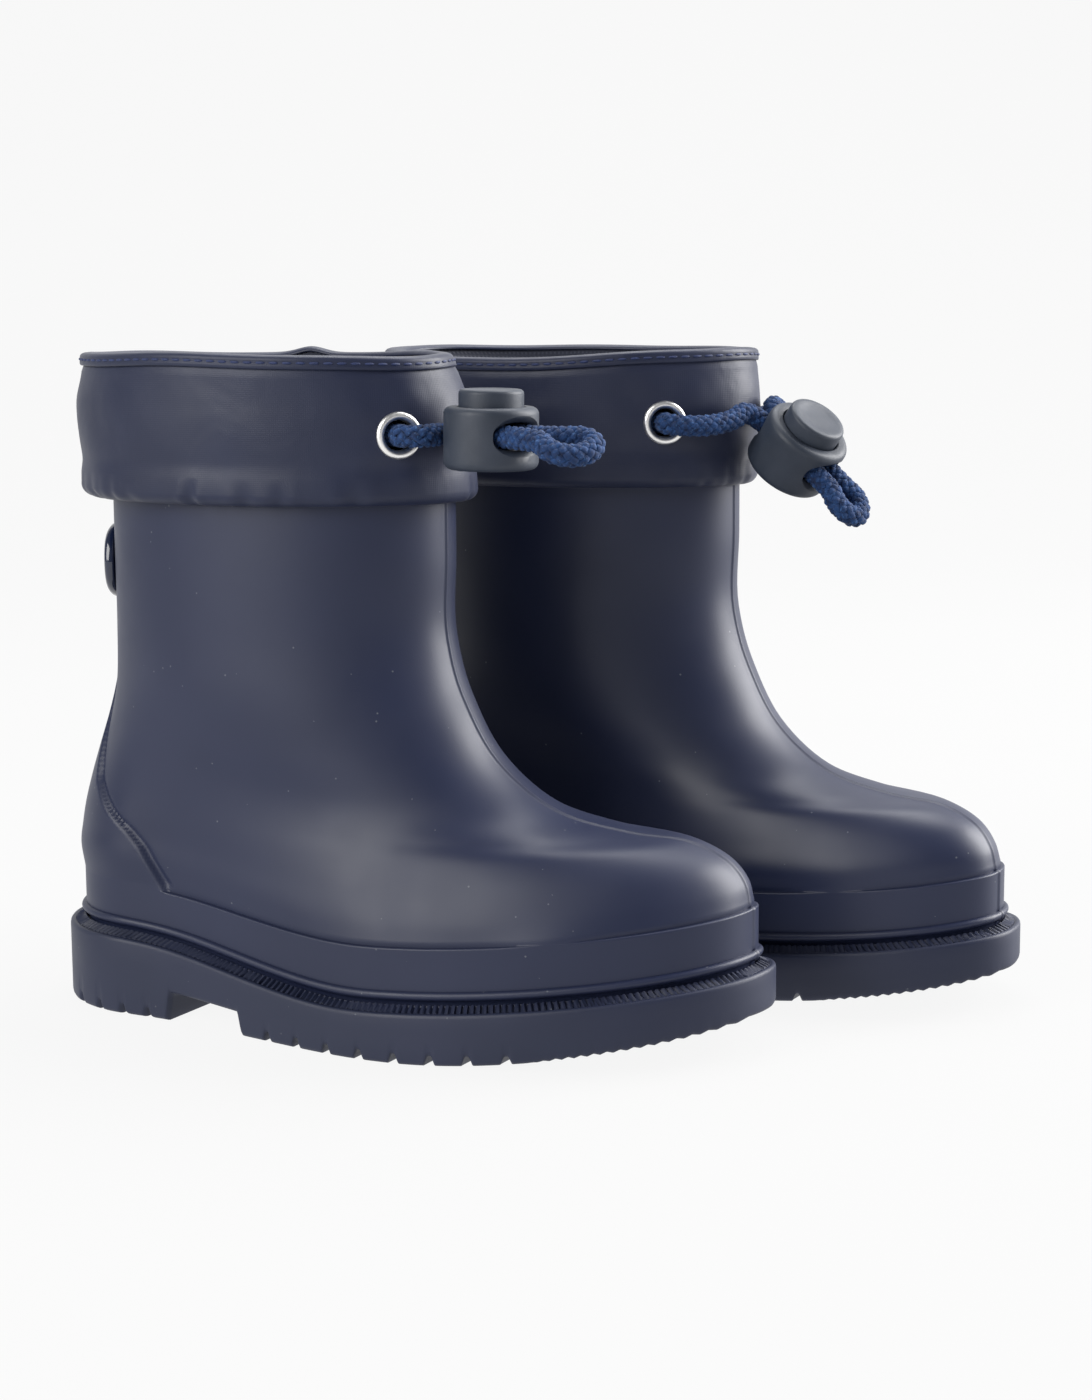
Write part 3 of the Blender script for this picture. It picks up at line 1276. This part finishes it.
def make_stitches(side):
    """One row of short stitches round the hem, each a small pillow that dips in at its ends."""
    fine = np.arange(0.0, 360.0, 0.25)
    rim = shaft_point(fine, COLLAR_PROUD + 0.24, COLLAR_TOP - STITCH_DROP)
    run = np.concatenate([[0.0], np.cumsum(np.linalg.norm(np.diff(rim, axis=0), axis=1))])
    total = run[-1] + np.linalg.norm(rim[0] - rim[-1])
    count = int(round(total / STITCH_PITCH))
    verts, faces, base = [], [], 0
    sides, rows = 8, 9
    for k in range(count):
        middle = total * k / count
        places = middle + np.linspace(-1.0, 1.0, rows) * 0.36 * STITCH_PITCH
        angles = np.interp(places % total, run, fine)
        lift = rim_lift(side, angles) * smoothstep(128.0, 141.0, COLLAR_TOP - STITCH_DROP)
        share = np.linspace(-1.0, 1.0, rows)
        bow = np.sqrt(np.maximum(1.0 - share ** 2, 0.0))
        out = COLLAR_PROUD + 0.06 + 0.14 * bow + rim_lean(side, angles, COLLAR_TOP - STITCH_DROP)
        centre = shaft_point(angles, out, COLLAR_TOP - STITCH_DROP + lift)
        outward = shaft_point(angles, COLLAR_PROUD + 1.0, 0.0) - shaft_point(angles, COLLAR_PROUD, 0.0)
        outward /= np.linalg.norm(outward, axis=1, keepdims=True)
        up = np.tile((0.0, 0.0, 1.0), (rows, 1))
        radius = 0.05 + 0.24 * bow
        a = 2.0 * np.pi * np.arange(sides) / sides
        grid = (centre[:, None] + radius[:, None, None] * (np.cos(a)[None, :, None] * outward[:, None] * 0.8
                                                           + np.sin(a)[None, :, None] * up[:, None]))
        verts.append(grid.reshape(-1, 3))
        faces += [tuple(f) for f in grid_faces(rows, sides) + base]
        for end in (base, base + (rows - 1) * sides):
            faces.append(tuple(range(end, end + sides)))
        base += rows * sides
    item = add_mesh(side.name + "_hem_stitches", side.world(np.vstack(verts)), faces, STITCH_THREAD)
    dress(item, side, [])
    return item


def make_eyelets(side):
    ring = arc((4.05, 0.25), 0.85, 0.0, 180.0, 13)
    ring += [(EYELET_HOLE, 0.0), (EYELET_HOLE, -0.7), (EYELET_HOLE, -1.35)]
    ring += [(3.5, -1.35), (3.5, 0.05), (4.8, 0.05)]
    for hand, word in ((-1, "lateral"), (1, "medial")):
        centre, _, normal = eyelet_frame(hand)
        matrix = frame_matrix(Vector(side.world(tuple(centre))), Vector((0.0, 0.0, 1.0)), side.turn(normal))
        grid = placed(lathe(ring, 72), matrix)
        item = add_grid(side.name + "_eyelet_ring_" + word, grid, NICKEL_PLATE, sharp=50.0)
        dress(item, side, ["eyelet_" + word])


# ---------------------------------------------------------------- badge

def badge_grid(side, half_width, half_height, section):
    """An oval plate on the curve of the shaft's back, from (share of radius, offset) pairs."""
    a = 2.0 * np.pi * np.arange(72) / 72
    rows = []
    for share, offset in section:
        across = half_width * share * np.cos(a)
        z = BADGE_HEIGHT + half_height * share * np.sin(a)
        rows.append(shaft_point(180.0 - np.degrees(across / SHAFT_HALF_WIDTH), offset, z))
    return side.world(np.array(rows))


def make_badge(side):
    low, high = GAP, GAP + BADGE_THICKNESS
    section = [(0.0, low), (0.5, low), (0.96, low), (1.0, low + 0.3), (1.0, high - 0.7),
               (0.985, high - 0.3), (0.95, high - 0.05), (0.91, high), (0.87, high - 0.05),
               (0.84, high - 0.22), (0.80, high - 0.3), (0.6, high - 0.16), (0.4, high - 0.08),
               (0.2, high - 0.04), (0.0, high - 0.03)]
    grid = badge_grid(side, BADGE_HALF_WIDTH, BADGE_HALF_HEIGHT, section)
    item = add_mesh(side.name + "_badge_plate", grid.reshape(-1, 3), grid_faces(len(section), 72),
                    BADGE_GLOSS, weld=0.000001)
    dress(item, side, ["badge"])
    low = 2.0 * GAP + BADGE_THICKNESS - 0.5
    high = 2.0 * GAP + BADGE_THICKNESS + INLAY_THICKNESS
    section = [(0.0, low), (0.9, low), (1.0, low + 0.2), (1.0, high - 0.25), (0.95, high - 0.05),
               (0.85, high), (0.4, high), (0.0, high)]
    grid = badge_grid(side, INLAY_HALF_WIDTH, INLAY_HALF_HEIGHT, section)
    item = add_mesh(side.name + "_badge_plain_inlay", grid.reshape(-1, 3), grid_faces(len(section), 72),
                    INLAY_CREAM, weld=0.000001)
    dress(item, side, ["badge_inlay"])


# ---------------------------------------------------------------- the pair

def paint_kept_nodes(side):
    """The CAD pieces that stay: hidden washers, the spring and the cord inside the collar."""
    kept = {"washer_lateral": NICKEL_PLATE, "washer_medial": NICKEL_PLATE, "lock_spring": SPRING_WIRE,
            "drawcord_tunnel": CORD_YARN}
    for part, material in kept.items():
        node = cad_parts[side.name + "_" + part]
        node.data.materials.clear()
        node.data.materials.append(material)


def make_boot(side):
    body = make_lock_body(side)
    button = make_lock_button(side)
    make_cord(side)
    make_outsole(side)
    make_upper(side)
    make_lining(side)
    make_footbed(side)
    make_collar(side)
    make_facing(side)
    make_binding(side)
    make_stitches(side)
    make_eyelets(side)
    make_badge(side)
    paint_kept_nodes(side)


make_stage()
make_boot(RIGHT)
make_boot(LEFT)
